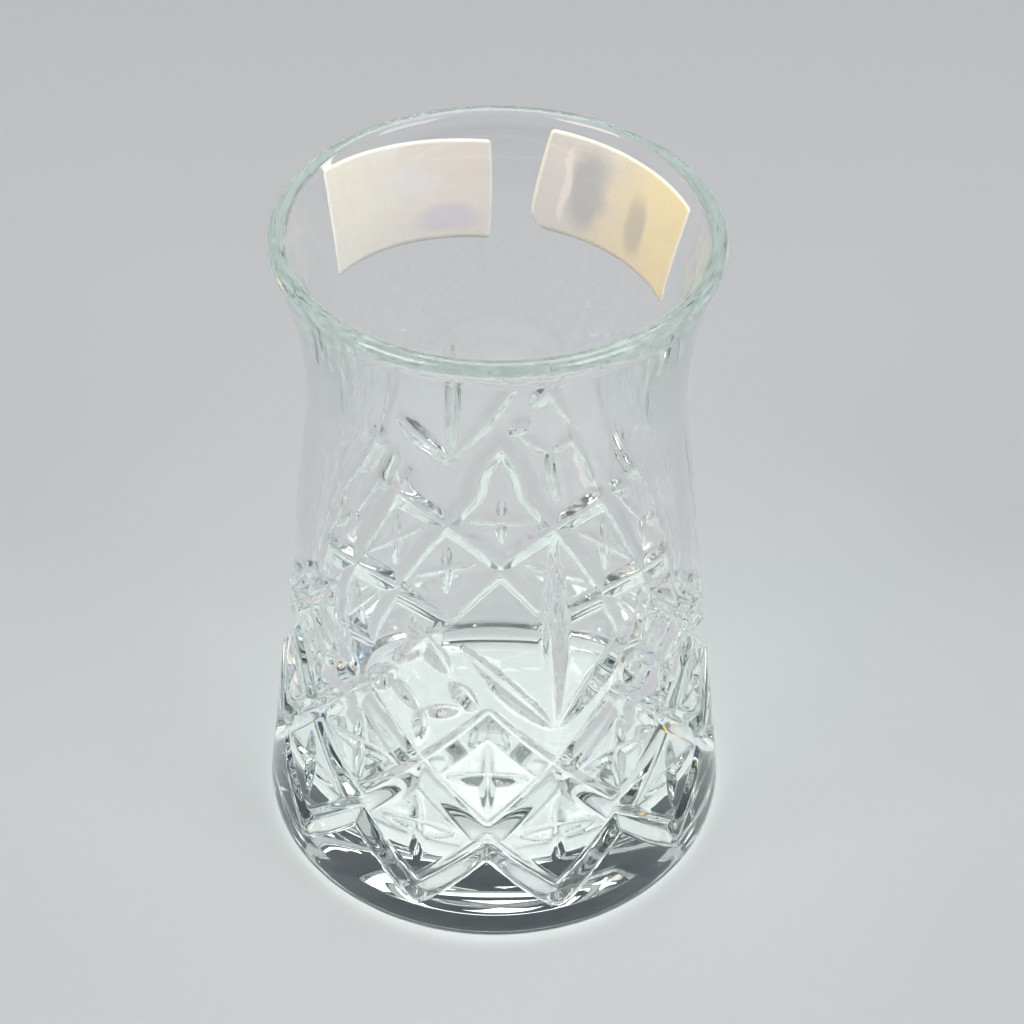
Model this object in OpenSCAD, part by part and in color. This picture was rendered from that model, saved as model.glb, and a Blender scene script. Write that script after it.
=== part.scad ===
// Mould-blown shot glass: thick base, wide foot, narrow waist and a flared mouth.
// The outside of the lower half carries a traditional cut-glass pattern of V cuts.
// The well follows the outside at a distance: the wall thins as it widens, and is thick at the foot.
// Two blank paper price labels are stuck outside, just under the rim at the back.
// Millimetres, +Z up, origin at the centre of the underside. The front is -Y.

/* [Glass] */
// Overall height
height = 78.5; // [74:0.5:86]
// Outside diameter at the rim
rim_d = 46; // [43:0.5:50]
// Outside diameter at the waist, the narrowest place
waist_d = 39.7; // [37:0.1:42]
// Height of the waist above the table
waist_z = 59.8; // [58:0.2:62]
// Outside diameter just above the heel, the widest place
base_d = 52.6; // [50:0.2:56]
// Radius of the rounded heel
heel_r = 2.2; // [1.5:0.1:3]
// Radius of the fire-polished lip, half the thickness of the rim
lip_r = 1.05; // [0.9:0.05:1.2]
// How softly the tapering wall turns into the waist
waist_blend = 0.055; // [0.03:0.005:0.15]
// How late the flare opens towards the rim
flare_power = 2.2; // [1.8:0.1:2.6]

/* [Well] */
// Thickness of the glass under the drink
floor_t = 6; // [5.5:0.5:9]
// Wall thickness at the waist
wall_t = 3.1; // [2.8:0.1:3.3]
// Thickness that the foot would add to the wall at the table, fading out upwards
foot_t = 8; // [6:0.5:9]
// Height at which the added thickness of the foot has faded out
foot_z = 40; // [36:1:44]
// Radius between the wall and the bottom of the well
well_corner_r = 5; // [4:0.5:7]
// Depth of the hollow in the underside
punt_depth = 1; // [0.6:0.1:1.6]
// Diameter of the hollow in the underside
punt_d = 38; // [34:1:42]

/* [Pattern] */
// Number of diamonds round the glass, the same in every row
columns = 10; // [10:10:10]
// Height of the lowest points of the diamonds
diamond_z = 8.1; // [7.8:0.1:8.5]
// Height from one row of crossings to the next
row_pitch = 7.9; // [7.6:0.05:8.2]
// Depth of the cuts that bound the diamonds
lattice_depth = 1.6; // [1.3:0.05:1.7]
// Distance from the diamonds down to the middle of the wide zigzag border
border_drop = 1.3; // [1.1:0.1:1.5]
// Depth of the zigzag border
border_depth = 1.4; // [1.2:0.05:1.7]
// Depth of the star in each diamond
star_depth = 0.9; // [0.6:0.05:1]
// Length of each ray of a star
star_ray = 4.7; // [4:0.1:5.2]
// Depth of the long leaves
leaf_depth = 1.3; // [0.9:0.05:1.4]
// Height of a fan's point above the crossing below it
fan_rise = 6; // [5:0.1:6.6]
// Angle that an arm of a fan covers
arm_span = 25.5; // [22:0.5:26.5]
// Height of a fan's upright leaf
palm_h = 22.5; // [16:0.5:24]
// Length of the stem of a sprig
sprig_stem = 3.7; // [3:0.1:4.5]
// Half the angle of the V of the narrow cuts
cut_half_angle = 43; // [40:1:45]
// Half the angle of the V of the zigzag border
border_half_angle = 45; // [43:1:47]

/* [Labels] */
// Width of a price label
label_w = 21.3; // [18:0.1:22]
// Height of a price label
label_h = 11.2; // [9.5:0.1:12]
// Thickness of the label paper
label_t = 0.15; // [0.1:0.01:0.25]
// Thickness of the glue behind the label
label_glue = 0.03; // [0.02:0.01:0.05]
// Corner radius of a label
label_corner_r = 0.4; // [0.3:0.1:1.5]
// Radius of the one corner of the right label that is worn round
label_worn_r = 2.4; // [0.3:0.1:3]
// Distance from the rim's top to the middle of a label
label_drop = 8.3; // [8.1:0.1:10]
// Direction that the left label faces, counted from +X
label_left_az = 123; // [118:0.5:128]
// Direction that the right label faces, counted from +X
label_right_az = 50.8; // [44:0.1:54]
// Tilt of the left label
label_left_tilt = 6; // [0:0.5:7]
// Tilt of the right label
label_right_tilt = 3; // [0:0.5:7]

/* [Hidden] */
$fn = 96;

waist_r = waist_d / 2;
base_r = base_d / 2;
rim_r = rim_d / 2;
lip_z = height - lip_r;
taper_steps = 9;
flare_steps = 9;
arc_steps = 8;
well_floor_z = floor_t;
thinning = ln(wall_t / (2 * lip_r)) / ln(rim_r / waist_r);

// Shape of the wall outside ------------------------------------------------------

// Rises from 0 at the waist, softly at first and then in a straight line, to 1 at the heel
function taper_shape(s) =
    (sqrt(s * s + waist_blend * waist_blend) - waist_blend)
    / (sqrt(1 + waist_blend * waist_blend) - waist_blend);

// Outside radius of the plain glass at a height between the heel and the lip
function wall_r(z) =
    z < waist_z
        ? waist_r + (base_r - waist_r) * taper_shape((waist_z - z) / (waist_z - heel_r))
        : waist_r + (rim_r - waist_r) * pow((z - waist_z) / (lip_z - waist_z), flare_power);

// Wall thickness at a height inside the well: it falls to the thickness of the lip at the rim
function wall_at(z) =
    wall_t * pow(waist_r / wall_r(z), thinning) + foot_t * pow(max(0, 1 - z / foot_z), 1.5);

function arc(cx, cz, r, a0, a1, n) =
    [for (i = [0:n]) let (a = a0 + (a1 - a0) * i / n) [cx + r * cos(a), cz + r * sin(a)]];

// Heights from the heel to the waist, closer together where the wall turns
taper_z = [for (i = [taper_steps:-1:1]) waist_z - (waist_z - heel_r) * pow(i / taper_steps, 2)];
flare_z = [for (i = [0:flare_steps - 1]) waist_z + (lip_z - waist_z) * i / flare_steps];

outer_wall = concat(
    arc(base_r - heel_r, heel_r, heel_r, -90, -10, arc_steps),
    [for (z = taper_z) [wall_r(z), z]],
    [for (z = flare_z) [wall_r(z), z]]
);

// Lip: an arc over the top of the rim, from the outside to the inside
lip = arc(rim_r - lip_r, lip_z, lip_r, 0, 180, 2 * arc_steps);

// Inside of the well, from the rim down to the middle of its floor
well_corner_z = well_floor_z + well_corner_r;
well_foot_r = wall_r(well_corner_z) - wall_at(well_corner_z);
well_flare_z = [for (i = [flare_steps - 1:-1:0]) waist_z + (lip_z - waist_z) * i / flare_steps];
well_taper_z = [for (i = [1:taper_steps]) waist_z - (waist_z - well_corner_z) * pow(i / taper_steps, 2)];
well_wall = concat(
    [for (z = well_flare_z) [wall_r(z) - wall_at(z), z]],
    [for (z = well_taper_z) [wall_r(z) - wall_at(z), z]],
    arc(well_foot_r - well_corner_r, well_corner_z, well_corner_r, -10, -90, arc_steps)
);

// Hollow underside: a shallow dome
punt_r = punt_d / 2;
punt_sphere_r = (punt_r * punt_r + punt_depth * punt_depth) / (2 * punt_depth);
punt_a = asin(punt_r / punt_sphere_r);
punt = arc(0, punt_depth - punt_sphere_r, punt_sphere_r, 90, 90 - punt_a, arc_steps);

module plain_glass() {
    rotate_extrude()
        polygon(concat(punt, outer_wall, lip, well_wall, [[0, well_floor_z]]));
}

// Pattern --------------------------------------------------------------------------

column_a = 360 / columns;
half_a = column_a / 2;
side_z = diamond_z + row_pitch;
cross_z = side_z + row_pitch;
peak_z = cross_z + row_pitch;
fan_z = cross_z + fan_rise;
front_a = -90;
cut_over = 2.4;
cut_lap = 0.45;
spray_gap = 2.5;
spray_a = 8;
spray_lap = 1;
spray_past = 5;
spray_lift = 1.1;
sprig_low_a = 11.6;
sprig_low_rise = 1.4;
sprig_high_a = 10;
sprig_high_rise = 3.7;
mould_half = columns / 2;

// Point on the wall, sunk by a depth. Directions are counted from the front, to the right.
function sunk(a, z, d) =
    [(wall_r(z) - d) * cos(front_a + a), (wall_r(z) - d) * sin(front_a + a), z];

function unit(v) = v / norm(v);

// Straight V cut whose bottom runs from depth d0 at one place to depth d1 at another
module v_cut(a0, z0, d0, a1, z1, d1, half_angle = cut_half_angle) {
    p0 = sunk(a0, z0, d0);
    p1 = sunk(a1, z1, d1);
    along = unit(p1 - p0);
    mid_a = front_a + (a0 + a1) / 2;
    slope = (wall_r(z0 - 1) - wall_r(z0 + 1)) / 2;
    out0 = [cos(mid_a), sin(mid_a), slope];
    out = unit(out0 - (out0 * along) * along);
    side = cross(out, along);
    start = p0 - cut_lap * along;
    multmatrix([
        [side[0], out[0], along[0], start[0]],
        [side[1], out[1], along[1], start[1]],
        [side[2], out[2], along[2], start[2]]
    ])
        linear_extrude(norm(p1 - p0) + 2 * cut_lap)
            polygon([
                [0, 0],
                [cut_over * tan(half_angle), cut_over],
                [-cut_over * tan(half_angle), cut_over]
            ]);
}

// Leaf: deepest in the middle, running out to nothing at both tips
module leaf(a0, z0, a1, z1, d) {
    am = (a0 + a1) / 2;
    zm = (z0 + z1) / 2;
    v_cut(am, zm, d, a0, z0, 0);
    v_cut(am, zm, d, a1, z1, 0);
}

// Star of four rays
module star(a, z) {
    ray_a = star_ray / wall_r(z) * 180 / PI;
    for (t = [-1, 1]) {
        v_cut(a, z, star_depth, a + t * ray_a, z, 0);
        v_cut(a, z, star_depth, a, z + t * star_ray, 0);
    }
}

// Cuts round one diamond column: zigzag border, and both rows of diamonds above it
module lattice(a) {
    for (t = [-1, 1]) {
        v_cut(
            a + t * half_a, diamond_z - border_drop, border_depth,
            a, side_z - border_drop, border_depth, border_half_angle
        );
        v_cut(a, side_z, lattice_depth, a + t * half_a, cross_z, lattice_depth);
        v_cut(a + t * half_a, cross_z, lattice_depth, a, peak_z, lattice_depth);
    }
}

// Fan: two long arms and an upright leaf that leave one point
module fan(a) {
    arm_rise = row_pitch * arm_span / half_a;
    for (t = [-1, 1])
        leaf(a, fan_z, a + t * arm_span, fan_z + arm_rise, leaf_depth);
    leaf(a, fan_z, a, fan_z + palm_h, leaf_depth);
}

// Height of the line that bounds the third row, an angle away from the crossing at its side
function spray_z(away) = peak_z + row_pitch * away / half_a;

// Sprig: a stem, a low ray to the right and a steeper ray to the left
module sprig(a, z) {
    v_cut(a, z, star_depth, a, z - sprig_stem, 0);
    v_cut(a, z, star_depth, a + sprig_low_a, z + sprig_low_rise, 0);
    v_cut(a, z, star_depth, a - sprig_high_a, z + sprig_high_rise, 0);
}

// Third-row diamond: a sprig, a short leaf at each side, and two leaves that cross above it
module crest(a) {
    near = half_a - spray_gap;
    far = near - spray_a;
    over = far + spray_lap;
    for (t = [-1, 1]) {
        leaf(
            a + t * near, spray_z(spray_gap),
            a + t * far, spray_z(spray_gap + spray_a), leaf_depth
        );
        leaf(
            a + t * over, spray_z(half_a - over) + spray_lift,
            a - t * spray_past, spray_z(half_a + spray_past) + spray_lift, leaf_depth
        );
    }
    sprig(a, peak_z);
}

module pattern() {
    for (k = [0:columns - 1]) {
        lattice(k * column_a);
        star(k * column_a, cross_z);
        star((k + 0.5) * column_a, side_z);
        // Each half of the mould holds five: crest, crest, fan, crest, fan from the front leftwards
        if (k % mould_half == 0 || k % mould_half == 2)
            fan((k + 0.5) * column_a);
        else
            crest((k + 0.5) * column_a);
    }
}

module glass_body() {
    color("lightcyan", 0.45)
        difference() {
            plain_glass();
            pattern();
        }
}

// Labels ---------------------------------------------------------------------------

label_z = height - label_drop;

// Slope of the wall behind the labels, and how much it shortens them seen from the side
label_slope = (wall_r(label_z + label_h / 2) - wall_r(label_z - label_h / 2)) / label_h;
label_rise = label_h / sqrt(1 + label_slope * label_slope);

// Thin skin that follows the wall round the whole glass at the height of the labels
module label_skin() {
    wall = concat([for (p = outer_wall) if (p[1] > label_z - label_h) p], [lip[0]]);
    near = [for (p = wall) [p[0] + label_glue, p[1]]];
    far = [for (i = [len(wall) - 1:-1:0]) [wall[i][0] + label_glue + label_t, wall[i][1]]];
    rotate_extrude()
        polygon(concat(near, far));
}

// Plate with rounded corners: the radii run from +x +y round to +x -y
module rounded_plate(w, h, radii, t) {
    sides = [[1, 1], [-1, 1], [-1, -1], [1, -1]];
    linear_extrude(t)
        polygon([
            for (i = [0:3])
                each arc(
                    sides[i][0] * (w / 2 - radii[i]), sides[i][1] * (h / 2 - radii[i]),
                    radii[i], 90 * i, 90 * i + 90, arc_steps
                )
        ]);
}

// One label: the skin trimmed to a plate that faces the given direction
module label(az, tilt, radii) {
    flat_w = 2 * wall_r(label_z) * sin(label_w / 2 / wall_r(label_z) * 180 / PI);
    intersection() {
        label_skin();
        rotate([0, 0, az])
            translate([wall_r(label_z) / 2, 0, label_z])
                rotate([tilt, 0, 0])
                    rotate([90, 0, 90])
                        rounded_plate(flat_w, label_rise, radii, base_r);
    }
}

module label_left() {
    color("linen")
        label(label_left_az, label_left_tilt, label_corner_r * [1, 1, 1, 1]);
}

module label_right() {
    color("antiquewhite")
        label(
            label_right_az, label_right_tilt,
            [label_corner_r, label_corner_r, label_corner_r, label_worn_r]
        );
}

glass_body();
label_left();
label_right();
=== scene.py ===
"""Looks of a moulded shot glass: clear glass with a cut pattern, and two paper labels under its rim."""

import logging
import math
from dataclasses import dataclass, field
from enum import Enum

import bmesh
import bpy
import numpy as np
from mathutils import Matrix, Vector

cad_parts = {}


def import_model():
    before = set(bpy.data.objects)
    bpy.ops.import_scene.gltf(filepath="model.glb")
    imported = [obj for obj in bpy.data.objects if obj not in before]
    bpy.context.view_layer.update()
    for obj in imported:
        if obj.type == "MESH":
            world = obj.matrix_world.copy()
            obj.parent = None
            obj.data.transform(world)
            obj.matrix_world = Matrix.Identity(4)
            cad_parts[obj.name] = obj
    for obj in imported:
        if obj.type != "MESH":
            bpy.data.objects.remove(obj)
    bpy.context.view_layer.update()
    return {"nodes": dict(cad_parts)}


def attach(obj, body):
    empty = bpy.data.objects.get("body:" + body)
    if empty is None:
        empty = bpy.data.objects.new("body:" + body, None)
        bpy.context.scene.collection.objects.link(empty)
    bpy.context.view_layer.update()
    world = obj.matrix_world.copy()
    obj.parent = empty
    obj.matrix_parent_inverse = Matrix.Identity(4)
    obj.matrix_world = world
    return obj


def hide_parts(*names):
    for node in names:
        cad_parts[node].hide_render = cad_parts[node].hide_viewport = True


frame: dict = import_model()

LOG = logging.getLogger("shot_glass")
MM = 0.001
TOUCH_MM = 0.01
LABEL_WIDTH_MM = 21.3
LABEL_LENGTH_MM = 11.2

# Sockets of the colour Mix node, whose names repeat
MIX_FIRST = 6
MIX_SECOND = 7
MIX_RESULT = 2


# Helpers --------------------------------------------------------------------------


def linear(hex_colour: str, alpha: float = 1.0) -> tuple[float, float, float, float]:
    """Turns an sRGB hex colour to linear light.

    Args:
        hex_colour: Six hex digits, such as "E8E0D4".
        alpha: Fourth value of the result.

    Returns:
        Red, green, blue and alpha.
    """
    values = [int(hex_colour[i : i + 2], 16) / 255 for i in (0, 2, 4)]
    red, green, blue = (v / 12.92 if v <= 0.04045 else ((v + 0.055) / 1.055) ** 2.4 for v in values)
    return red, green, blue, alpha


def add_node(
    tree: bpy.types.NodeTree, kind: str, inputs: dict | None = None, **settings: object
) -> bpy.types.Node:
    """Adds a shader node with its settings, values and links.

    Args:
        tree: Node tree that gets the node.
        kind: Type of the node, such as "ShaderNodeMix".
        inputs: Values or output sockets, by the input's name or index.
        settings: Attributes of the node itself.

    Returns:
        The new node.
    """
    node = tree.nodes.new(kind)
    for name, value in settings.items():
        setattr(node, name, value)
    for key, value in (inputs or {}).items():
        if isinstance(value, bpy.types.NodeSocket):
            tree.links.new(value, node.inputs[key])
        else:
            node.inputs[key].default_value = value
    return node


def new_material(name: str) -> tuple[bpy.types.Material, bpy.types.NodeTree]:
    """Makes an empty node material.

    Args:
        name: Name of the real material.

    Returns:
        The material and its empty node tree.
    """
    material = bpy.data.materials.new(name)
    material.use_nodes = True
    material.node_tree.nodes.clear()
    return material, material.node_tree


def finish_mesh(bm: bmesh.types.BMesh, name: str, material: bpy.types.Material) -> bpy.types.Object:
    """Turns a bmesh that is in millimetres into a smooth object in metres.

    Args:
        bm: Mesh to use. It is freed.
        name: Name of the piece.
        material: Its material.

    Returns:
        The object, at the origin.
    """
    bmesh.ops.transform(bm, matrix=Matrix.Scale(MM, 4), verts=bm.verts)
    for face in bm.faces:
        face.smooth = True
    mesh = bpy.data.meshes.new(name)
    bm.to_mesh(mesh)
    bm.free()
    mesh.materials.append(material)
    piece = bpy.data.objects.new(name, mesh)
    bpy.context.scene.collection.objects.link(piece)
    return piece


def arc(cx: float, cz: float, r: float, a0: float, a1: float, steps: int) -> list[tuple[float, float]]:
    """Points along an arc.

    Args:
        cx: Radius at which the arc's centre lies.
        cz: Height at which it lies.
        r: Radius of the arc.
        a0: First angle in degrees.
        a1: Last angle in degrees.
        steps: Number of steps between them.

    Returns:
        Pairs of a radius and a height.
    """
    angles = [math.radians(a0 + (a1 - a0) * i / steps) for i in range(steps + 1)]
    return [(cx + r * math.cos(a), cz + r * math.sin(a)) for a in angles]


# Shape of the glass ---------------------------------------------------------------


@dataclass(frozen=True)
class Wall:
    """Turned shape of the glass, in millimetres, with the same values as its solid.

    Blend, a share, rounds the turn from the taper to the waist. The wall thickens by foot_t at the table,
    and by nothing at foot_z. The punt is the shallow hollow of the underside.
    """

    height: float = 78.5
    rim_r: float = 23.0
    waist_r: float = 19.85
    waist_z: float = 59.8
    base_r: float = 26.3
    heel_r: float = 2.2
    lip_r: float = 1.05
    blend: float = 0.055
    flare_power: float = 2.2
    floor_t: float = 6.0
    wall_t: float = 3.1
    foot_t: float = 8.0
    foot_z: float = 40.0
    foot_power: float = 1.5
    corner_r: float = 5.0
    punt_depth: float = 1.0
    punt_r: float = 19.0
    punt_edge: float = 0.4

    @property
    def lip_z(self) -> float:
        """Height of the middle of the lip."""
        return self.height - self.lip_r

    def outside(self, z: np.ndarray | float) -> np.ndarray:
        """Outside radius of the plain wall.

        Args:
            z: Heights to look at.

        Returns:
            The radius at each height.
        """
        z = np.asarray(z, dtype=float)
        s = np.maximum((self.waist_z - z) / (self.waist_z - self.heel_r), 0.0)
        soft = (np.sqrt(s * s + self.blend**2) - self.blend) / (math.sqrt(1 + self.blend**2) - self.blend)
        up = np.maximum((z - self.waist_z) / (self.lip_z - self.waist_z), 0.0)
        taper = self.waist_r + (self.base_r - self.waist_r) * soft
        return taper + (self.rim_r - self.waist_r) * up**self.flare_power

    def thickness(self, z: np.ndarray | float) -> np.ndarray:
        """Thickness of the wall: it thins as it widens, down to the lip, and grows at the foot.

        Args:
            z: Heights to look at.

        Returns:
            The thickness at each height.
        """
        z = np.asarray(z, dtype=float)
        thinning = math.log(self.wall_t / (2 * self.lip_r)) / math.log(self.rim_r / self.waist_r)
        low = np.maximum(1 - z / self.foot_z, 0.0)
        thin = self.wall_t * (self.waist_r / self.outside(z)) ** thinning
        up = (z - self.waist_z) / (self.lip_z - self.waist_z)
        # Above the waist it thins evenly, within 0.25 mm of the same law, which keeps the flare clear
        flare = self.wall_t + (2 * self.lip_r - self.wall_t) * up
        return np.where(up > 0, flare, thin) + self.foot_t * low**self.foot_power

    def inside(self, z: np.ndarray | float) -> np.ndarray:
        """Inside radius of the wall at each height."""
        return self.outside(z) - self.thickness(z)


@dataclass(frozen=True)
class Cut:
    """Groove from one place on the wall to another.

    Directions are in degrees from the front, all other sizes in millimetres.
    """

    a0: float
    z0: float
    a1: float
    z1: float
    depth: float
    half_width: float
    leaf: bool = False
    edge: float = 0.10

    def carve(self, wall: Wall, a: np.ndarray, z: np.ndarray) -> np.ndarray:
        """Depth that this cut takes away at each place.

        Args:
            wall: Wall that is cut.
            a: Directions of the places in degrees from the front.
            z: Heights of the places in millimetres.

        Returns:
            Depth at each place in millimetres, 0 outside the cut.
        """
        am, zm = (self.a0 + self.a1) / 2, (self.z0 + self.z1) / 2
        scale = math.radians(1) * float(wall.outside(zm))
        x = ((a - am + 180) % 360 - 180) * scale
        y = z - zm
        ux, uy = (self.a1 - self.a0) * scale, self.z1 - self.z0
        length = math.hypot(ux, uy)
        ux, uy = ux / length, uy / length
        along = (x * ux + y * uy) / (length / 2)
        across = x * uy - y * ux
        if self.leaf:
            fall = np.clip(1 - along**2, 0, 1)
            past = 0.0
        else:
            fall = np.ones_like(x)
            past = np.maximum(np.abs(along) - 1, 0) * length / 2
        away = np.sqrt(across**2 + past**2 + self.edge**2) - self.edge
        return np.maximum(self.depth * (fall - away / self.half_width), 0)


@dataclass(frozen=True)
class CutPattern:
    """Traditional cut motif: a zigzag border, two rows of starred diamonds, and fans and crests above them.

    The arms' span and the gap, length (spray_a), lap and overshoot of the spray are degrees round the glass,
    and each low or high sprig is given by its degrees and its rise. The rest are millimetres.
    """

    columns: int = 10
    fan_every: int = 5
    fan_columns: tuple[int, ...] = (0, 2)
    diamond_z: float = 8.1
    row_pitch: float = 7.9
    lattice_depth: float = 1.6
    lattice_half: float = 1.45
    border_drop: float = 1.3
    border_depth: float = 1.4
    border_half: float = 1.4
    star_ray: float = 4.7
    star_depth: float = 0.9
    star_half: float = 0.8
    leaf_depth: float = 1.3
    leaf_half: float = 1.2
    fan_rise: float = 6.0
    arm_span: float = 25.5
    palm_h: float = 22.5
    spray_gap: float = 2.5
    spray_a: float = 8.0
    spray_lap: float = 1.0
    spray_past: float = 5.0
    spray_lift: float = 1.1
    sprig_root: float = 0.6
    sprig_stem: float = 3.7
    sprig_low: tuple[float, float] = (11.6, 1.4)
    sprig_high: tuple[float, float] = (-10.0, 3.7)

    @property
    def half(self) -> float:
        """Angle from a column of diamonds to the next row's column."""
        return 180 / self.columns

    def row(self, index: int) -> float:
        """Height of a row of crossings, counted from the lowest points of the diamonds."""
        return self.diamond_z + self.row_pitch * index

    def star(self, wall: Wall, a: float, z: float) -> list[Cut]:
        """Two crossed leaves that make a star of four rays.

        Args:
            wall: Wall that is cut.
            a: Direction of its middle in degrees from the front.
            z: Height of its middle.

        Returns:
            The two cuts.
        """
        ray_a = math.degrees(self.star_ray / float(wall.outside(z)))
        kind = {"depth": self.star_depth, "half_width": self.star_half, "leaf": True}
        return [
            Cut(a - ray_a, z, a + ray_a, z, **kind),
            Cut(a, z - self.star_ray, a, z + self.star_ray, **kind),
        ]

    def lattice(self, a: float) -> list[Cut]:
        """Wide zigzag border and narrow cuts that bound the diamonds of one column.

        Args:
            a: Direction of the column in degrees from the front.

        Returns:
            Its cuts.
        """
        wide = {"depth": self.border_depth, "half_width": self.border_half}
        narrow = {"depth": self.lattice_depth, "half_width": self.lattice_half}
        cuts: list[Cut] = []
        for side in (-1, 1):
            b = a + side * self.half
            cuts.append(Cut(b, self.row(0) - self.border_drop, a, self.row(1) - self.border_drop, **wide))
            cuts.append(Cut(a, self.row(1), b, self.row(2), **narrow))
            cuts.append(Cut(b, self.row(2), a, self.row(3), **narrow))
        return cuts

    def fan(self, a: float) -> list[Cut]:
        """Two long arms and an upright leaf that leave one point.

        Args:
            a: Direction of the fan in degrees from the front.

        Returns:
            Its cuts.
        """
        kind = {"depth": self.leaf_depth, "half_width": self.leaf_half, "leaf": True}
        z = self.row(2) + self.fan_rise
        rise = self.row_pitch * self.arm_span / self.half
        arms = [Cut(a, z, a + side * self.arm_span, z + rise, **kind) for side in (-1, 1)]
        return arms + [Cut(a, z, a, z + self.palm_h, **kind)]

    def crest(self, a: float) -> list[Cut]:
        """Third-row diamond: a sprig, a short leaf at each side, and two leaves that cross above it.

        Args:
            a: Direction of the crest in degrees from the front.

        Returns:
            Its cuts.
        """
        kind = {"depth": self.leaf_depth, "half_width": self.leaf_half, "leaf": True}
        fine = {"depth": self.star_depth, "half_width": self.star_half, "leaf": True}
        slope = self.row_pitch / self.half
        z = self.row(3)
        near = self.half - self.spray_gap
        far = near - self.spray_a
        over = far + self.spray_lap
        rise = slope * self.spray_gap
        cuts: list[Cut] = []
        for side in (-1, 1):
            top = z + rise + slope * self.spray_a
            cuts.append(Cut(a + side * near, z + rise, a + side * far, top, **kind))
            low = z + slope * (self.half - over) + self.spray_lift
            high = z + slope * (self.half + self.spray_past) + self.spray_lift
            cuts.append(Cut(a + side * over, low, a - side * self.spray_past, high, **kind))
        cuts.append(Cut(a, z + self.sprig_root, a, z - self.sprig_stem, **fine))
        for across, up in (self.sprig_low, self.sprig_high):
            cuts.append(Cut(a, z, a + across, z + up, **fine))
        return cuts

    def cuts(self, wall: Wall) -> list[Cut]:
        """All cuts of the pattern, round the whole glass.

        Args:
            wall: Wall that is cut.

        Returns:
            The cuts, column by column.
        """
        out: list[Cut] = []
        for k in range(self.columns):
            a = 2 * self.half * k
            out += self.lattice(a)
            out += self.star(wall, a, self.row(2))
            out += self.star(wall, a + self.half, self.row(1))
            above = self.fan if k % self.fan_every in self.fan_columns else self.crest
            out += above(a + self.half)
        return out

    def depth(self, wall: Wall, a: np.ndarray, z: np.ndarray) -> np.ndarray:
        """Depth of the pattern, the deepest cut counting.

        Args:
            wall: Wall that is cut.
            a: Directions of the places in degrees from the front.
            z: Heights of the places in millimetres.

        Returns:
            Depth at each place in millimetres.
        """
        out = np.zeros_like(a)
        for cut in self.cuts(wall):
            out = np.maximum(out, cut.carve(wall, a, z))
        return out


@dataclass(frozen=True)
class GlassFinish:
    """Fire-polished soda-lime glass: clear, with a faint grey-green body that only thick glass shows."""

    name: str = "fire_polished_soda_lime_glass"
    body: str = "FFFFFF"
    tint: str = "D4E2DC"
    tint_density: float = 12.0
    shadow: str = "EEF2F0"
    ior: float = 1.52
    ripple_mm: float = 7.0
    ripple_height_mm: float = 0.01

    def build(self) -> bpy.types.Material:
        """Makes the material.

        Returns:
            The material, for a closed wall of glass.
        """
        material, tree = new_material(self.name)
        place = add_node(tree, "ShaderNodeTexCoord")
        # Slow ripples that the mould and the flame leave, a few millimetres apart
        ripple = add_node(
            tree,
            "ShaderNodeTexNoise",
            {
                "Vector": place.outputs["Object"],
                "Scale": 1 / (self.ripple_mm * MM),
                "Detail": 1.0,
                "Roughness": 0.4,
            },
        )
        bump = add_node(
            tree,
            "ShaderNodeBump",
            {"Height": ripple.outputs["Fac"], "Strength": 1.0, "Distance": self.ripple_height_mm * MM},
        )
        shader = add_node(
            tree,
            "ShaderNodeBsdfPrincipled",
            {
                "Base Color": linear(self.body),
                "Roughness": 0.0,
                "IOR": self.ior,
                "Transmission Weight": 1.0,
                "Normal": bump.outputs["Normal"],
            },
        )
        # Clear glass throws only a light shadow, because most of the lamps' light falls through it
        path = add_node(tree, "ShaderNodeLightPath")
        pass_through = add_node(tree, "ShaderNodeBsdfTransparent", {"Color": linear(self.shadow)})
        surface = add_node(
            tree,
            "ShaderNodeMixShader",
            {0: path.outputs["Is Shadow Ray"], 1: shader.outputs["BSDF"], 2: pass_through.outputs["BSDF"]},
        )
        volume = add_node(
            tree,
            "ShaderNodeVolumeAbsorption",
            {"Color": linear(self.tint), "Density": self.tint_density},
        )
        add_node(
            tree,
            "ShaderNodeOutputMaterial",
            {"Surface": surface.outputs["Shader"], "Volume": volume.outputs["Volume"]},
        )
        return material


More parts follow.
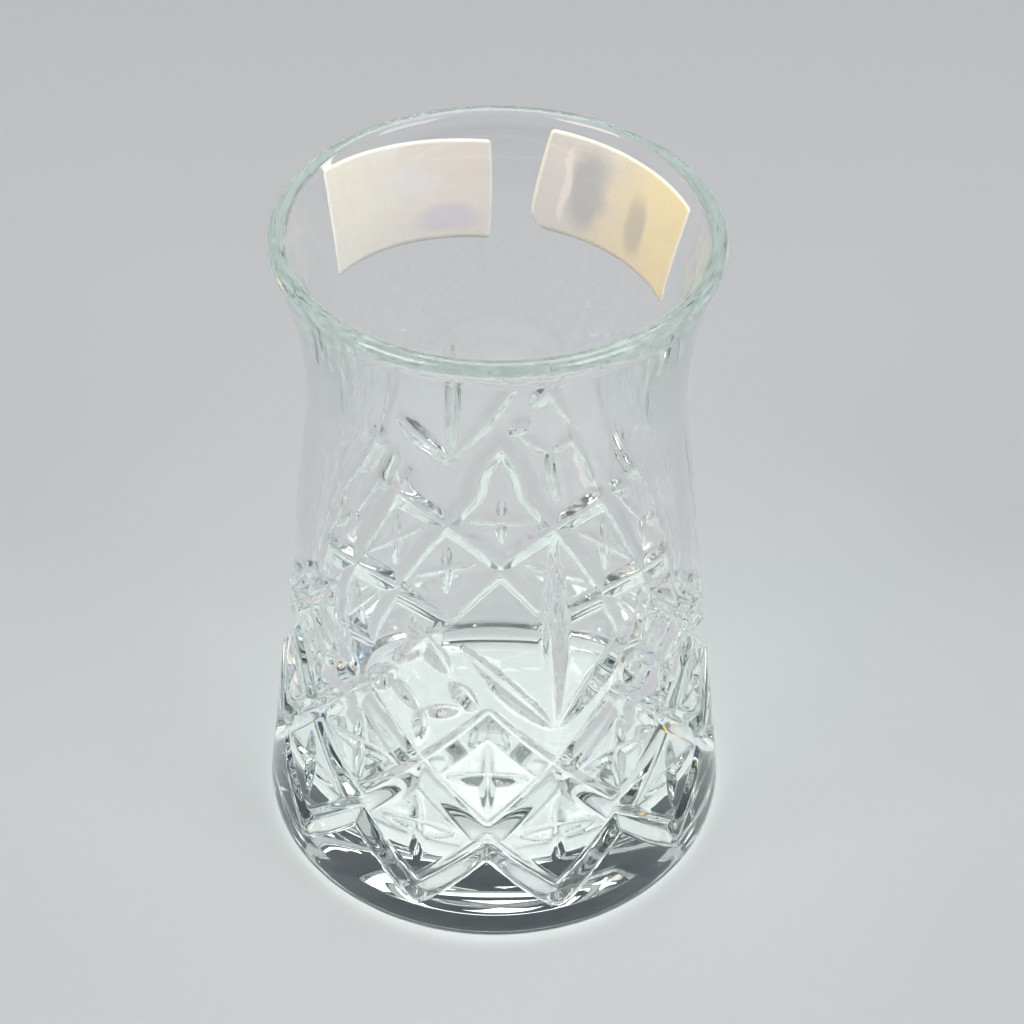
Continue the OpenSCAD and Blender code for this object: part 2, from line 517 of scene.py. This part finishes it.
@dataclass
class GlassBody:
    """The glass itself: a turned wall whose lower half carries the cuts.

    The fine mesh has rows_per_pitch rows to one row of diamonds, so that the diamonds' sides run along its
    diagonals. Steps are counts of faces along the stretch that they name.
    """

    wall: Wall = field(default_factory=Wall)
    pattern: CutPattern = field(default_factory=CutPattern)
    finish: GlassFinish = field(default_factory=GlassFinish)
    turn_steps: int = 360
    rows_per_pitch: int = 18
    rows_below: int = 9
    rows_above: int = 80
    punt_steps: int = 10
    heel_steps: int = 8
    heel_end: float = -8.0
    low_steps: int = 2
    palm_steps: int = 9
    palm_stride: int = 2
    flare_steps: int = 16
    lip_steps: int = 14
    well_steps: int = 24
    corner_steps: int = 9
    corner_start: float = -6.0
    floor_steps: int = 3
    clear_of_lip: float = 1.0
    polish: float = 0.3

    @property
    def fine_step(self) -> float:
        """Height of one row of the fine mesh."""
        return self.pattern.row_pitch / self.rows_per_pitch

    @property
    def fine_z(self) -> tuple[float, float]:
        """Lowest and highest level of the fine mesh."""
        low = self.pattern.diamond_z - self.rows_below * self.fine_step
        return low, self.pattern.diamond_z + self.rows_above * self.fine_step

    def levels(self) -> list[float]:
        """Heights of the rows of the outer wall.

        Returns:
            Heights from the heel to just under the lip.
        """
        w = self.wall
        low, high = self.fine_z
        palm_top = high + self.palm_stride * self.palm_steps * self.fine_step
        heights = [w.heel_r + (low - w.heel_r) * i / self.low_steps for i in range(self.low_steps)]
        heights += [low + self.fine_step * i for i in range(self.rows_below + self.rows_above + 1)]
        heights += [high + self.palm_stride * self.fine_step * i for i in range(1, self.palm_steps + 1)]
        left = w.lip_z - palm_top
        return heights + [palm_top + left * i / self.flare_steps for i in range(1, self.flare_steps)]

    def outline(self) -> list[tuple[float, float]]:
        """Outline from the middle of the underside, out and over the lip, to the middle of the well's floor.

        Returns:
            Pairs of a radius and a height.
        """
        w = self.wall
        dome_r = (w.punt_r**2 + w.punt_depth**2) / (2 * w.punt_depth)
        dome_a = math.degrees(math.asin(w.punt_r / dome_r))
        points = arc(0, w.punt_depth - dome_r, dome_r, 90, 90 - dome_a, self.punt_steps)
        points += [(w.punt_r + w.punt_edge, 0.0)]
        points += arc(w.base_r - w.heel_r, w.heel_r, w.heel_r, -90, self.heel_end, self.heel_steps)
        points += [(float(w.outside(z)), z) for z in self.levels()]
        points += arc(w.rim_r - w.lip_r, w.lip_z, w.lip_r, 0, 180, self.lip_steps)
        corner_z = w.floor_t + w.corner_r
        down = [w.lip_z + (corner_z - w.lip_z) * i / self.well_steps for i in range(1, self.well_steps + 1)]
        points += [(float(w.inside(z)), z) for z in down]
        floor_r = float(w.inside(corner_z)) - w.corner_r
        points += arc(floor_r, corner_z, w.corner_r, self.corner_start, -90, self.corner_steps)
        points += [(floor_r * i / self.floor_steps, w.floor_t) for i in reversed(range(self.floor_steps))]
        return points

    def turned(self) -> bmesh.types.BMesh:
        """Spins the outline into a closed wall.

        Returns:
            The plain glass, in millimetres.
        """
        bm = bmesh.new()
        points = self.outline()
        verts = [bm.verts.new((0.0, -r, z)) for r, z in points]
        edges = [bm.edges.new(pair) for pair in zip(verts, verts[1:])]
        bmesh.ops.spin(
            bm,
            geom=verts + edges,
            cent=(0, 0, 0),
            axis=(0, 0, 1),
            angle=math.tau,
            steps=self.turn_steps,
            use_merge=True,
        )
        poles = [v for v in bm.verts if math.hypot(v.co.x, v.co.y) < TOUCH_MM]
        bmesh.ops.remove_doubles(bm, verts=poles, dist=2 * TOUCH_MM)
        bmesh.ops.recalc_face_normals(bm, faces=bm.faces)
        return bm

    def on_outside(self, v: bmesh.types.BMVert) -> bool:
        """True for a vertex on the outer side of the wall."""
        return math.hypot(v.co.x, v.co.y) > float(self.wall.outside(v.co.z)) - self.wall.lip_r

    def carve(self, bm: bmesh.types.BMesh) -> None:
        """Sinks the pattern into the outer side of the wall and softens its edges as the flame does.

        Args:
            bm: Plain glass, in millimetres.
        """
        low, high = self.fine_z
        top = self.wall.lip_z - self.clear_of_lip
        outer = {v for v in bm.verts if low - TOUCH_MM < v.co.z < top and self.on_outside(v)}
        fine = [f for f in bm.faces if all(v in outer and v.co.z < high + TOUCH_MM for v in f.verts)]
        made = bmesh.ops.poke(bm, faces=fine)
        outer.update(made["verts"])
        verts = [v for v in bm.verts if v in outer]
        co = np.array([v.co for v in verts])
        a = np.degrees(np.arctan2(co[:, 0], -co[:, 1]))
        depth = self.pattern.depth(self.wall, a, co[:, 2])
        radius = self.wall.outside(co[:, 2]) - depth
        turn = np.radians(a)
        for v, r, t in zip(verts, radius, turn):
            v.co.x, v.co.y = r * math.sin(t), -r * math.cos(t)
        cut = [v for v, d in zip(verts, depth) if d > 0]
        bmesh.ops.smooth_vert(
            bm, verts=cut, factor=self.polish, use_axis_x=True, use_axis_y=True, use_axis_z=False
        )

    def build(self) -> bpy.types.Object:
        """Makes the piece.

        Returns:
            The glass.
        """
        bm = self.turned()
        self.carve(bm)
        piece = finish_mesh(bm, "glass", self.finish.build())
        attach(piece, "root")
        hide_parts("glass_body")
        return piece


# Labels ---------------------------------------------------------------------------


@dataclass(frozen=True)
class Patch:
    """Part of a label where the glue shows.

    Its place and half size are shares of the label, and the colour is the paper's there.
    """

    u: float
    v: float
    half_u: float
    half_v: float
    colour: str


@dataclass(frozen=True)
class PaperFinish:
    """Uncoated label paper under a film of glue: matt, short fibres, greyer where air has got behind it."""

    name: str
    left: str
    right: str
    edge: str
    patches: tuple[Patch, ...] = ()
    width_mm: float = LABEL_WIDTH_MM
    length_mm: float = LABEL_LENGTH_MM
    edge_mm: float = 0.4
    fibre_mm: float = 0.35
    fibre_height_mm: float = 0.03
    fibre_shade: tuple[float, float] = (0.95, 1.03)
    blotch_mm: float = 4.0
    blotch_weight: float = 0.5
    shade_span: tuple[float, float] = (0.25, 1.2)
    bend: float = 0.12
    patch_span: tuple[float, float] = (1.35, 0.6)

    def build(self) -> bpy.types.Material:
        """Makes the material.

        Returns:
            The material, for a piece whose UV map covers the label.
        """
        material, tree = new_material(self.name)
        place = add_node(tree, "ShaderNodeTexCoord")
        uv = place.outputs["UV"]
        # Fibres of uncoated paper, drawn about three times as coarse as the real ones so that they show
        fibres = add_node(
            tree,
            "ShaderNodeTexNoise",
            {
                "Vector": place.outputs["Object"],
                "Scale": 1 / (self.fibre_mm * MM),
                "Detail": 3.0,
                "Roughness": 0.6,
            },
        )
        # Uneven glue, a few millimetres across
        blotch = add_node(
            tree,
            "ShaderNodeTexNoise",
            {
                "Vector": place.outputs["Object"],
                "Scale": 1 / (self.blotch_mm * MM),
                "Detail": 2.0,
                "Roughness": 0.5,
            },
        )
        colour = self.base(tree, uv, blotch.outputs["Fac"])
        for patch in self.patches:
            colour = self.lift(tree, uv, blotch.outputs["Color"], colour, patch)
        colour = self.rim(tree, uv, colour)
        speckle = add_node(
            tree,
            "ShaderNodeMapRange",
            {
                "Value": fibres.outputs["Fac"],
                "From Min": 0.25,
                "From Max": 0.75,
                "To Min": self.fibre_shade[0],
                "To Max": self.fibre_shade[1],
            },
        )
        colour = add_node(
            tree,
            "ShaderNodeVectorMath",
            {0: colour, "Scale": speckle.outputs["Result"]},
            operation="SCALE",
        ).outputs["Vector"]
        bump = add_node(
            tree,
            "ShaderNodeBump",
            {"Height": fibres.outputs["Fac"], "Strength": 0.5, "Distance": self.fibre_height_mm * MM},
        )
        # Paper scatters light evenly, with no gloss to speak of
        shader = add_node(
            tree,
            "ShaderNodeBsdfPrincipled",
            {
                "Base Color": colour,
                "Roughness": 0.75,
                "Specular IOR Level": 0.3,
                "Normal": bump.outputs["Normal"],
            },
        )
        add_node(tree, "ShaderNodeOutputMaterial", {"Surface": shader.outputs["BSDF"]})
        return material

    def base(
        self, tree: bpy.types.NodeTree, uv: bpy.types.NodeSocket, blotch: bpy.types.NodeSocket
    ) -> bpy.types.NodeSocket:
        """Colour of the plain paper, which turns unevenly from its left colour to its right one.

        Args:
            tree: Node tree of the paper.
            uv: Place on the label.
            blotch: Noise that bends the change.

        Returns:
            The colour.
        """
        split = add_node(tree, "ShaderNodeSeparateXYZ", {"Vector": uv})
        across = add_node(
            tree,
            "ShaderNodeMath",
            {0: blotch, 1: self.blotch_weight, 2: split.outputs["X"]},
            operation="MULTIPLY_ADD",
        )
        shade = add_node(
            tree,
            "ShaderNodeMapRange",
            {
                "Value": across.outputs["Value"],
                "From Min": self.shade_span[0],
                "From Max": self.shade_span[1],
            },
            interpolation_type="SMOOTHSTEP",
        )
        return add_node(
            tree,
            "ShaderNodeMix",
            {
                "Factor": shade.outputs["Result"],
                MIX_FIRST: linear(self.left),
                MIX_SECOND: linear(self.right),
            },
            data_type="RGBA",
        ).outputs[MIX_RESULT]

    def rim(
        self, tree: bpy.types.NodeTree, uv: bpy.types.NodeSocket, colour: bpy.types.NodeSocket
    ) -> bpy.types.NodeSocket:
        """Lightens the colour in a thin line along the cut edges.

        Args:
            tree: Node tree of the paper.
            uv: Place on the label.
            colour: Colour so far.

        Returns:
            Colour with the light edges.
        """
        centred = add_node(
            tree, "ShaderNodeVectorMath", {0: uv, 1: (0.5, 0.5, 0.0)}, operation="SUBTRACT"
        ).outputs["Vector"]
        size = add_node(tree, "ShaderNodeVectorMath", {0: centred}, operation="ABSOLUTE").outputs["Vector"]
        split = add_node(tree, "ShaderNodeSeparateXYZ", {"Vector": size})
        for axis, side_mm in (("X", self.width_mm), ("Y", self.length_mm)):
            share = self.edge_mm / side_mm
            mask = add_node(
                tree,
                "ShaderNodeMapRange",
                {"Value": split.outputs[axis], "From Min": 0.5 - share, "From Max": 0.5 - share / 2},
            )
            colour = add_node(
                tree,
                "ShaderNodeMix",
                {"Factor": mask.outputs["Result"], MIX_FIRST: colour, MIX_SECOND: linear(self.edge)},
                data_type="RGBA",
            ).outputs[MIX_RESULT]
        return colour

    def lift(
        self,
        tree: bpy.types.NodeTree,
        uv: bpy.types.NodeSocket,
        wander: bpy.types.NodeSocket,
        colour: bpy.types.NodeSocket,
        patch: Patch,
    ) -> bpy.types.NodeSocket:
        """Changes the colour over one patch of glue.

        Args:
            tree: Node tree of the paper.
            uv: Place on the label.
            wander: Noise that bends the patch's edge.
            colour: Colour so far.
            patch: Where the glue is loose.

        Returns:
            Colour with the patch.
        """
        bent = add_node(
            tree,
            "ShaderNodeVectorMath",
            {0: wander, 1: (self.bend, self.bend, 0.0), 2: uv},
            operation="MULTIPLY_ADD",
        )
        # The noise is about a half on average, so the patch's middle moves by half the bend
        middle = (patch.u + self.bend / 2, patch.v + self.bend / 2, 0.0)
        centred = add_node(
            tree, "ShaderNodeVectorMath", {0: bent.outputs["Vector"], 1: middle}, operation="SUBTRACT"
        )
        scaled = add_node(
            tree,
            "ShaderNodeVectorMath",
            {0: centred.outputs["Vector"], 1: (1 / patch.half_u, 1 / patch.half_v, 0.0)},
            operation="MULTIPLY",
        )
        away = add_node(tree, "ShaderNodeVectorMath", {0: scaled.outputs["Vector"]}, operation="LENGTH")
        mask = add_node(
            tree,
            "ShaderNodeMapRange",
            {"Value": away.outputs["Value"], "From Min": self.patch_span[0], "From Max": self.patch_span[1]},
            interpolation_type="SMOOTHSTEP",
        )
        return add_node(
            tree,
            "ShaderNodeMix",
            {"Factor": mask.outputs["Result"], MIX_FIRST: colour, MIX_SECOND: linear(patch.colour)},
            data_type="RGBA",
        ).outputs[MIX_RESULT]


@dataclass
class PaperLabel:
    """Small paper label stuck on the outside of the wall, under the rim. Sizes are in millimetres."""

    name: str
    node: str
    slot: str
    finish: PaperFinish
    azimuth: float
    tilt: float
    worn_r: float = 0.4
    width: float = LABEL_WIDTH_MM
    length: float = LABEL_LENGTH_MM
    thickness: float = 0.15
    glue: float = 0.04
    drop: float = 8.3
    corner_r: float = 0.4
    corner_steps: int = 5
    width_steps: int = 42
    length_steps: int = 22
    wall: Wall = field(default_factory=Wall)

    @property
    def middle_z(self) -> float:
        """Height of the label's middle."""
        return self.wall.height - self.drop

    def plate(self) -> bmesh.types.BMesh:
        """Flat label with rounded corners, cut into small faces so that it can bend.

        Returns:
            The label in the XY plane, x along its width.
        """
        bm = bmesh.new()
        bmesh.ops.create_grid(bm, x_segments=1, y_segments=1, size=0.5)
        bmesh.ops.scale(bm, vec=(self.width, self.length, 1), verts=bm.verts)
        worn = [v for v in bm.verts if v.co.x < 0 and v.co.y < 0]
        sharp = [v for v in bm.verts if v not in worn]
        for verts, radius in ((worn, self.worn_r), (sharp, self.corner_r)):
            bmesh.ops.bevel(
                bm,
                geom=verts,
                affect="VERTICES",
                offset=radius,
                segments=self.corner_steps,
                profile=0.5,
                material=-1,
            )
        for axis, size, pieces in ((0, self.width, self.width_steps), (1, self.length, self.length_steps)):
            for i in range(1, pieces):
                place, normal = [0.0] * 3, [0.0] * 3
                place[axis], normal[axis] = size * (i / pieces - 0.5), 1.0
                geom = bm.verts[:] + bm.edges[:] + bm.faces[:]
                bmesh.ops.bisect_plane(bm, geom=geom, dist=TOUCH_MM / 100, plane_co=place, plane_no=normal)
        return bm

    def stick(self, bm: bmesh.types.BMesh) -> None:
        """Bends the flat label round the wall, and gives it its place on a UV map first.

        Args:
            bm: Flat label, x along its width and y up.
        """
        layer = bm.loops.layers.uv.new("UVMap")
        for face in bm.faces:
            for loop in face.loops:
                loop[layer].uv = (loop.vert.co.x / self.width + 0.5, loop.vert.co.y / self.length + 0.5)
        zc = self.middle_z
        rc = float(self.wall.outside(zc))
        reach = self.length / 2
        slope = (float(self.wall.outside(zc + reach)) - float(self.wall.outside(zc - reach))) / self.length
        rise = 1 / math.sqrt(1 + slope * slope)
        flat = 2 * rc * math.sin(self.width / 2 / rc) / self.width
        tilt, facing = math.radians(self.tilt), math.radians(self.azimuth)
        for v in bm.verts:
            level, upright = -v.co.x * flat, v.co.y * rise
            side = level * math.cos(tilt) - upright * math.sin(tilt)
            up = level * math.sin(tilt) + upright * math.cos(tilt)
            z = min(zc + up, self.wall.lip_z)
            r = float(self.wall.outside(z)) + self.glue
            turn = facing + math.asin(max(-1.0, min(1.0, side / r)))
            v.co = Vector((r * math.cos(turn), r * math.sin(turn), z))

    def build(self) -> bpy.types.Object:
        """Makes the piece.

        Returns:
            The label.
        """
        bm = self.plate()
        self.stick(bm)
        bmesh.ops.recalc_face_normals(bm, faces=bm.faces)
        centre = Vector((0, 0, self.middle_z))
        if sum((f.calc_center_median() - centre).dot(f.normal) for f in bm.faces) < 0:
            bmesh.ops.reverse_faces(bm, faces=bm.faces)
        bmesh.ops.solidify(bm, geom=bm.faces[:], thickness=-self.thickness)
        # Growing outwards leaves the closed shell inside out, so its faces are turned once more
        bmesh.ops.recalc_face_normals(bm, faces=bm.faces)
        piece = finish_mesh(bm, self.name, self.finish.build())
        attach(piece, "root")
        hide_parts(self.node)
        return piece


# Stage ----------------------------------------------------------------------------


class Shape(Enum):
    """Shape of a soft lamp."""

    ROUND = "DISK"
    PANEL = "RECTANGLE"


@dataclass(frozen=True)
class SoftLamp:
    """Studio lamp with a diffuser, aimed at the glass.

    Lengths are in metres, and the spread of its beam is in degrees.
    """

    name: str
    place: tuple[float, float, float]
    size: tuple[float, float]
    watts: float
    colour: str = "FFFFFF"
    shape: Shape = Shape.PANEL
    aim: tuple[float, float, float] = (0.0, 0.0, 0.035)
    spread: float = 180.0

    def build(self) -> None:
        """Adds the lamp to the scene."""
        data = bpy.data.lights.new(self.name, "AREA")
        data.shape = self.shape.value
        data.size = self.size[0]
        if self.shape is Shape.PANEL:
            data.size_y = self.size[1]
        data.energy = self.watts
        data.spread = math.radians(self.spread)
        data.color = linear(self.colour)[:3]
        lamp = bpy.data.objects.new(self.name, data)
        lamp.location = self.place
        lamp.rotation_euler = (Vector(self.aim) - Vector(self.place)).to_track_quat("-Z", "Y").to_euler()
        bpy.context.scene.collection.objects.link(lamp)


@dataclass(frozen=True)
class CardFinish:
    """Matt card: an even pale grey with a fine grain and almost no shine."""

    name: str = "matt_card"
    colour: str = "D6D8DA"
    grain_mm: float = 1.2
    grain_height_mm: float = 0.02
    roughness: float = 0.8

    def build(self) -> bpy.types.Material:
        """Makes the material.

        Returns:
            The material.
        """
        material, tree = new_material(self.name)
        place = add_node(tree, "ShaderNodeTexCoord")
        grain = add_node(
            tree,
            "ShaderNodeTexNoise",
            {"Vector": place.outputs["Object"], "Scale": 1 / (self.grain_mm * MM), "Detail": 2.0},
        )
        bump = add_node(
            tree,
            "ShaderNodeBump",
            {"Height": grain.outputs["Fac"], "Strength": 0.2, "Distance": self.grain_height_mm * MM},
        )
        shader = add_node(
            tree,
            "ShaderNodeBsdfPrincipled",
            {
                "Base Color": linear(self.colour),
                "Roughness": self.roughness,
                "Specular IOR Level": 0.2,
                "Normal": bump.outputs["Normal"],
            },
        )
        add_node(tree, "ShaderNodeOutputMaterial", {"Surface": shader.outputs["BSDF"]})
        return material


@dataclass(frozen=True)
class Stage:
    """Plain pale floor, an even darker grey room and soft lamps. Lengths are in metres."""

    finish: CardFinish = CardFinish()
    room_colour: str = "4A5056"
    floor_r: float = 3.0
    floor_steps: int = 96
    floor_drop_mm: float = 0.02
    lamps: tuple[SoftLamp, ...] = (
        SoftLamp("key_softbox", (-0.60, -0.45, 0.75), (0.5, 0.4), 4.6, "FFF8EE"),
        SoftLamp("fill_softbox", (0.65, -0.45, 0.7), (0.5, 0.5), 4.0, "F6F8FF"),
        SoftLamp("top_softbox", (0.1, 0.35, 1.0), (0.6, 0.6), 3.6),
        # Two weak low lamps, for coloured glints in the cuts. Their narrow beams miss most of the floor
        SoftLamp(
            name="amber_bulb",
            place=(-0.34, 0.14, 0.03),
            size=(0.06, 0.06),
            watts=0.0075,
            colour="FFB030",
            shape=Shape.ROUND,
            aim=(0, 0, 0.02),
            spread=60.0,
        ),
        SoftLamp(
            name="blue_window",
            place=(0.34, 0.10, 0.04),
            size=(0.05, 0.10),
            watts=0.0065,
            colour="7FA8FF",
            aim=(0, 0, 0.02),
            spread=60.0,
        ),
    )

    def floor(self) -> bpy.types.Object:
        """Large matt card that the glass stands on.

        Returns:
            The card.
        """
        material = self.finish.build()
        bm = bmesh.new()
        bmesh.ops.create_circle(bm, cap_ends=True, segments=self.floor_steps, radius=self.floor_r / MM)
        bmesh.ops.translate(bm, vec=(0, 0, -self.floor_drop_mm), verts=bm.verts)
        board = finish_mesh(bm, "floor", material)
        return board

    def room(self) -> None:
        """Even grey light from all round, which the glass mirrors and bends."""
        world = bpy.data.worlds.new("studio")
        bpy.context.scene.world = world
        world.use_nodes = True
        tree = world.node_tree
        tree.nodes.clear()
        shade = add_node(tree, "ShaderNodeBackground", {"Color": linear(self.room_colour), "Strength": 1.0})
        add_node(tree, "ShaderNodeOutputWorld", {"Surface": shade.outputs["Background"]})

    def build(self) -> None:
        """Makes the floor, the room and the lamps."""
        self.floor()
        self.room()
        for lamp in self.lamps:
            lamp.build()


@dataclass(frozen=True)
class Viewpoint:
    """Camera above and in front of the glass, looking down into it.

    Lengths are in metres unless they say mm, and angles are in degrees.
    """

    place: tuple[float, float, float] = (0.006335, -0.21273, 0.22691)
    pitch: float = 41.148
    yaw: float = 1.24
    roll: float = 0.724
    lens_mm: float = 91.41
    sensor_mm: float = 36.0
    nearest: float = 0.01
    farthest: float = 20.0

    def build(self) -> None:
        """Makes the camera and puts it in use."""
        data = bpy.data.cameras.new("camera")
        data.lens = self.lens_mm
        data.sensor_width = self.sensor_mm
        data.clip_start = self.nearest
        data.clip_end = self.farthest
        camera = bpy.data.objects.new("camera", data)
        turn = (
            Matrix.Rotation(math.radians(self.yaw), 4, "Z")
            @ Matrix.Rotation(math.radians(90 - self.pitch), 4, "X")
            @ Matrix.Rotation(math.radians(self.roll), 4, "Z")
        )
        camera.matrix_world = Matrix.Translation(self.place) @ turn
        bpy.context.scene.collection.objects.link(camera)
        bpy.context.scene.camera = camera


# Assembly -------------------------------------------------------------------------

IVORY_PAPER = PaperFinish(
    name="uncoated_label_paper_ivory",
    left="F6EDDE",
    right="EEE2DC",
    edge="FDF9F2",
    patches=(Patch(0.78, 0.22, 0.17, 0.14, "E0D7DC"), Patch(0.58, 0.62, 0.12, 0.12, "F1E8E4")),
)
CREAM_PAPER = PaperFinish(
    name="uncoated_label_paper_cream",
    left="E2DADA",
    right="F5E2B8",
    edge="FCF4E6",
    patches=(
        Patch(0.28, 0.50, 0.12, 0.40, "C3C0C4"),
        Patch(0.145, 0.50, 0.022, 0.38, "F4E9E6"),
        Patch(0.61, 0.40, 0.07, 0.30, "CFC6B6"),
    ),
)
LIGHT_BOUNCES = 64


def set_view() -> None:
    """Plain colour handling, and enough bounces for light to pass through thick cut glass."""
    scene = bpy.context.scene
    scene.view_settings.view_transform = "Standard"
    scene.cycles.max_bounces = LIGHT_BOUNCES
    scene.cycles.transmission_bounces = LIGHT_BOUNCES
    scene.cycles.glossy_bounces = LIGHT_BOUNCES


def main() -> None:
    """Builds the glass, its labels and the stage, and reports each piece."""
    logging.basicConfig(level=logging.INFO, format="%(name)s: %(message)s")
    left = PaperLabel("paper_label_left", "label_left", "label_ivory", IVORY_PAPER, azimuth=123, tilt=6)
    right = PaperLabel(
        "paper_label_right", "label_right", "label_cream", CREAM_PAPER, azimuth=50.8, tilt=3, worn_r=2.4
    )
    for part in (GlassBody(), left, right):
        piece = part.build()
        triangles = sum(len(p.vertices) - 2 for p in piece.data.polygons)
        LOG.info("%s: %d triangles", piece.name, triangles)
    Stage().build()
    Viewpoint().build()
    set_view()


if __name__ == "__main__":
    main()
